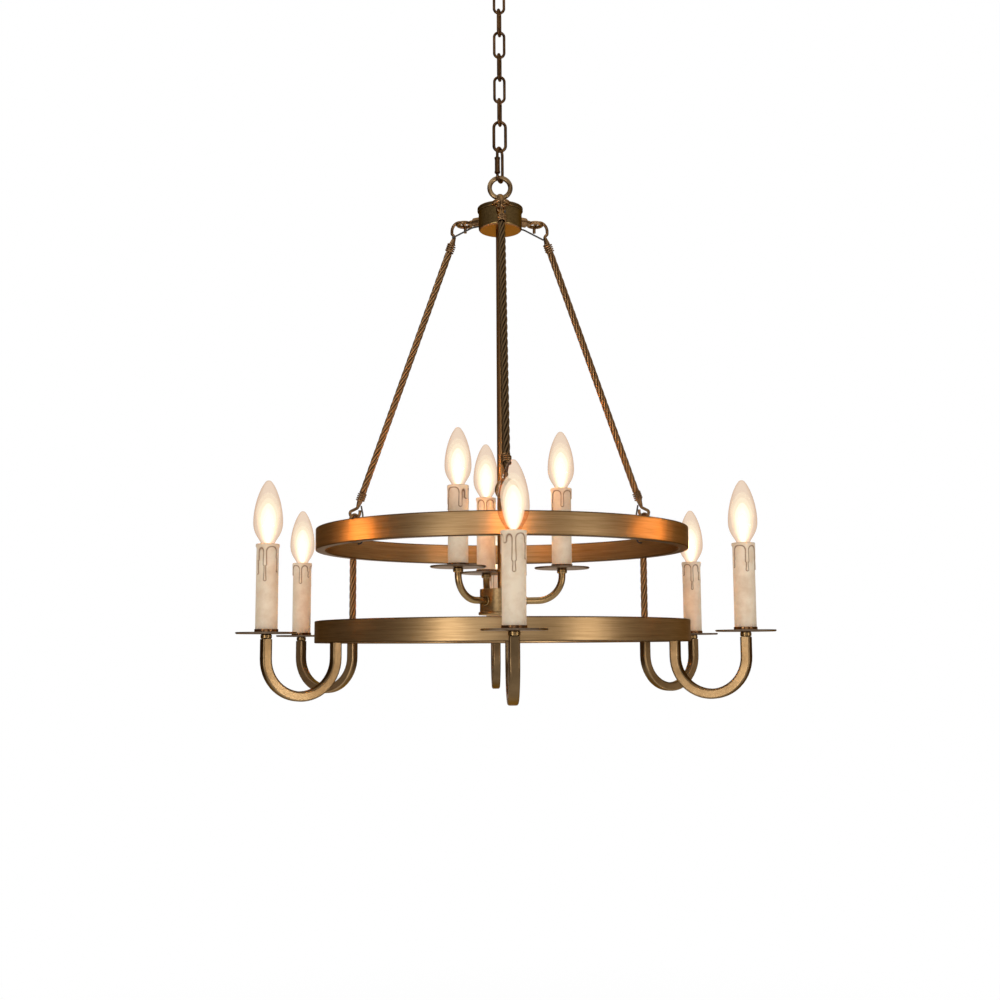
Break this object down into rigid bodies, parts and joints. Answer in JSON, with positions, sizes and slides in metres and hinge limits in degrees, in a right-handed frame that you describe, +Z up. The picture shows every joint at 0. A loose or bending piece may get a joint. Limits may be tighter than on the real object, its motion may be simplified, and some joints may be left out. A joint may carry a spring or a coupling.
{
  "type": "wagon wheel chandelier",
  "caption": "Chandelier with two stacked brass hoops, candle lamps on curled arms round them and on a cluster inside, hung by rope-twist rods from a hub and chain.",
  "frame": {"origin": "middle of the canopy's and strap's face against the ceiling", "axes": "+Z up into the ceiling, front arm towards -Y"},
  "size_m": [0.6382, 0.726, 1.0417],
  "materials": {
    "brushed_brass": "brushed, dark antique lacquer",
    "aged_brass": "satin antique",
    "twisted_brass": "satin antique, rope twist",
    "chain_bronze": "dark bronze",
    "dark_bronze": "gloss dark bronze",
    "plated_steel": "zinc plated",
    "ivory_sleeve": "matt ivory",
    "socket_plastic": "matt dark",
    "black_insulation": "satin black",
    "bulb_glass": "clear"
  },
  "bodies": {
    "ceiling_fitting": {"mounting_strap": "plated_steel", "canopy_nipple": "plated_steel", "nipple_nuts": "plated_steel", "canopy": "brushed_brass", "collar_nut": "aged_brass", "canopy_loop": "aged_brass"},
    "link_1": {"chain_link_1": "chain_bronze"},
    "link_2": {"chain_link_2": "chain_bronze"},
    "link_3": {"chain_link_3": "chain_bronze"},
    "link_4": {"chain_link_4": "chain_bronze"},
    "link_5": {"chain_link_5": "chain_bronze"},
    "link_6": {"chain_link_6": "chain_bronze"},
    "connecting_link_body": {"connecting_link": "chain_bronze"},
    "quick_link_body": {"quick_link": "chain_bronze"},
    "quick_nut_body": {"quick_link_nut": "chain_bronze"},
    "hanging_ring_body": {"hanging_ring": "aged_brass"},
    "hub": {"ring_boss": "aged_brass", "hub_cap": "brushed_brass", "hub_body": "brushed_brass", "hub_eyes": "aged_brass", "stem_tube": "brushed_brass", "stem_fittings": "aged_brass", "top_leads": "black_insulation"},
    "suspension_front": {"rod_front": "twisted_brass", "rod_hooks_front": "twisted_brass", "rod_whippings_front": "twisted_brass"},
    "suspension_right": {"rod_right": "twisted_brass", "rod_hooks_right": "twisted_brass", "rod_whippings_right": "twisted_brass"},
    "suspension_left": {"rod_left": "twisted_brass", "rod_hooks_left": "twisted_brass", "rod_whippings_left": "twisted_brass"},
    "wheel": {"upper_hoop": "brushed_brass", "lower_hoop": "brushed_brass", "hoop_loops": "aged_brass", "spacer_rods": "twisted_brass", "low_leads": "black_insulation", "outer_arms": "brushed_brass", "arm_necks": "brushed_brass", "drip_pans": "brushed_brass", "candle_cups": "dark_bronze", "candle_sleeves": "ivory_sleeve", "lamp_sockets": "socket_plastic"},
    "inner_cluster": {"cluster_body": "brushed_brass", "cluster_base": "brushed_brass", "inner_arms": "brushed_brass", "inner_arm_collars": "brushed_brass", "inner_drip_pans": "brushed_brass", "inner_candle_cups": "dark_bronze", "inner_candle_sleeves": "ivory_sleeve", "inner_lamp_sockets": "socket_plastic"},
    "bulb_front_lamp": {"bulb_front": "bulb_glass"},
    "bulb_front_left_lamp": {"bulb_front_left": "bulb_glass"},
    "bulb_front_right_lamp": {"bulb_front_right": "bulb_glass"},
    "bulb_rear_lamp": {"bulb_rear": "bulb_glass"},
    "bulb_rear_left_lamp": {"bulb_rear_left": "bulb_glass"},
    "bulb_rear_right_lamp": {"bulb_rear_right": "bulb_glass"},
    "inner_bulb_left_lamp": {"inner_bulb_left": "bulb_glass"},
    "inner_bulb_rear_lamp": {"inner_bulb_rear": "bulb_glass"},
    "inner_bulb_right_lamp": {"inner_bulb_right": "bulb_glass"}
  },
  "joints": [
    {"name": "link_1_swing", "type": "hinge", "parent": "ceiling_fitting", "child": "link_1", "pos_m": [0, 0, -0.0665], "axis": [0, 1, 0], "range_deg": [-12, 12]},
    {"name": "link_2_swing", "type": "hinge", "parent": "link_1", "child": "link_2", "pos_m": [0, 0, -0.0989], "axis": [1, 0, 0], "range_deg": [-12, 12]},
    {"name": "link_3_swing", "type": "hinge", "parent": "link_2", "child": "link_3", "pos_m": [0, 0, -0.13165], "axis": [0.2419, 0.9703, 0], "range_deg": [-12, 12]},
    {"name": "link_4_swing", "type": "hinge", "parent": "link_3", "child": "link_4", "pos_m": [0, 0, -0.1644], "axis": [1, 0, 0], "range_deg": [-12, 12]},
    {"name": "link_5_swing", "type": "hinge", "parent": "link_4", "child": "link_5", "pos_m": [0, 0, -0.19715], "axis": [0.2419, 0.9703, 0], "range_deg": [-12, 12]},
    {"name": "link_6_swing", "type": "hinge", "parent": "link_5", "child": "link_6", "pos_m": [0, 0, -0.2299], "axis": [1, 0, 0], "range_deg": [-12, 12]},
    {"name": "connecting_link_swing", "type": "hinge", "parent": "link_6", "child": "connecting_link_body", "pos_m": [0, 0, -0.26265], "axis": [0.2419, 0.9703, 0], "range_deg": [-12, 12]},
    {"name": "quick_link_swing", "type": "hinge", "parent": "connecting_link_body", "child": "quick_link_body", "pos_m": [0, 0, -0.30045], "axis": [1, 0, 0], "range_deg": [-12, 12]},
    {"name": "ring_swing", "type": "hinge", "parent": "quick_link_body", "child": "hanging_ring_body", "pos_m": [0, 0, -0.34425], "axis": [0.4384, 0.8988, 0], "range_deg": [-12, 12]},
    {"name": "hub_swing", "type": "hinge", "parent": "hanging_ring_body", "child": "hub", "pos_m": [0, 0, -0.3672], "axis": [1, 0, 0], "range_deg": [-12, 12]},
    {"name": "quick_nut_travel", "type": "slide", "parent": "quick_link_body", "child": "quick_nut_body", "axis": [0, 0, 1], "range_m": [0, 0.0075]},
    {"name": "wheel_twist", "type": "hinge", "parent": "hub", "child": "wheel", "pos_m": [0, 0, -0.3954], "axis": [0, 0, 1], "range_deg": [-3, 3], "stiffness_Nm_per_rad": 1.9},
    {"name": "rod_front_swing", "type": "hinge", "parent": "hub", "child": "suspension_front", "pos_m": [-0.00092, -0.06609, -0.3954], "axis": [-0.014, -0.9999, 0], "range_deg": [-2, 2]},
    {"name": "rod_right_swing", "type": "hinge", "parent": "hub", "child": "suspension_right", "pos_m": [0.0577, 0.03225, -0.3954], "axis": [0.8729, 0.4879, 0], "range_deg": [-2, 2]},
    {"name": "rod_left_swing", "type": "hinge", "parent": "hub", "child": "suspension_left", "pos_m": [-0.05678, 0.03385, -0.3954], "axis": [-0.859, 0.512, 0], "range_deg": [-2, 2]},
    {"name": "cluster_turn", "type": "hinge", "parent": "hub", "child": "inner_cluster", "pos_m": [0, 0, -0.9029], "axis": [0, 0, 1], "range_deg": [-60, 60]},
    {"name": "bulb_front_lift", "type": "slide", "parent": "wheel", "child": "bulb_front_lamp", "axis": [0, 0, 1], "range_m": [0, 0.03]},
    {"name": "bulb_front_left_lift", "type": "slide", "parent": "wheel", "child": "bulb_front_left_lamp", "axis": [0, 0, 1], "range_m": [0, 0.03]},
    {"name": "bulb_front_right_lift", "type": "slide", "parent": "wheel", "child": "bulb_front_right_lamp", "axis": [0, 0, 1], "range_m": [0, 0.03]},
    {"name": "bulb_rear_lift", "type": "slide", "parent": "wheel", "child": "bulb_rear_lamp", "axis": [0, 0, 1], "range_m": [0, 0.03]},
    {"name": "bulb_rear_left_lift", "type": "slide", "parent": "wheel", "child": "bulb_rear_left_lamp", "axis": [0, 0, 1], "range_m": [0, 0.03]},
    {"name": "bulb_rear_right_lift", "type": "slide", "parent": "wheel", "child": "bulb_rear_right_lamp", "axis": [0, 0, 1], "range_m": [0, 0.03]},
    {"name": "inner_bulb_left_lift", "type": "slide", "parent": "inner_cluster", "child": "inner_bulb_left_lamp", "axis": [0, 0, 1], "range_m": [0, 0.03]},
    {"name": "inner_bulb_rear_lift", "type": "slide", "parent": "inner_cluster", "child": "inner_bulb_rear_lamp", "axis": [0, 0, 1], "range_m": [0, 0.03]},
    {"name": "inner_bulb_right_lift", "type": "slide", "parent": "inner_cluster", "child": "inner_bulb_right_lamp", "axis": [0, 0, 1], "range_m": [0, 0.03]}
  ],
  "couplings": [
    {"joint": "rod_front_swing", "follows": "wheel_twist", "ratio": 0.60202},
    {"joint": "rod_right_swing", "follows": "wheel_twist", "ratio": 0.60202},
    {"joint": "rod_left_swing", "follows": "wheel_twist", "ratio": 0.60202}
  ]
}
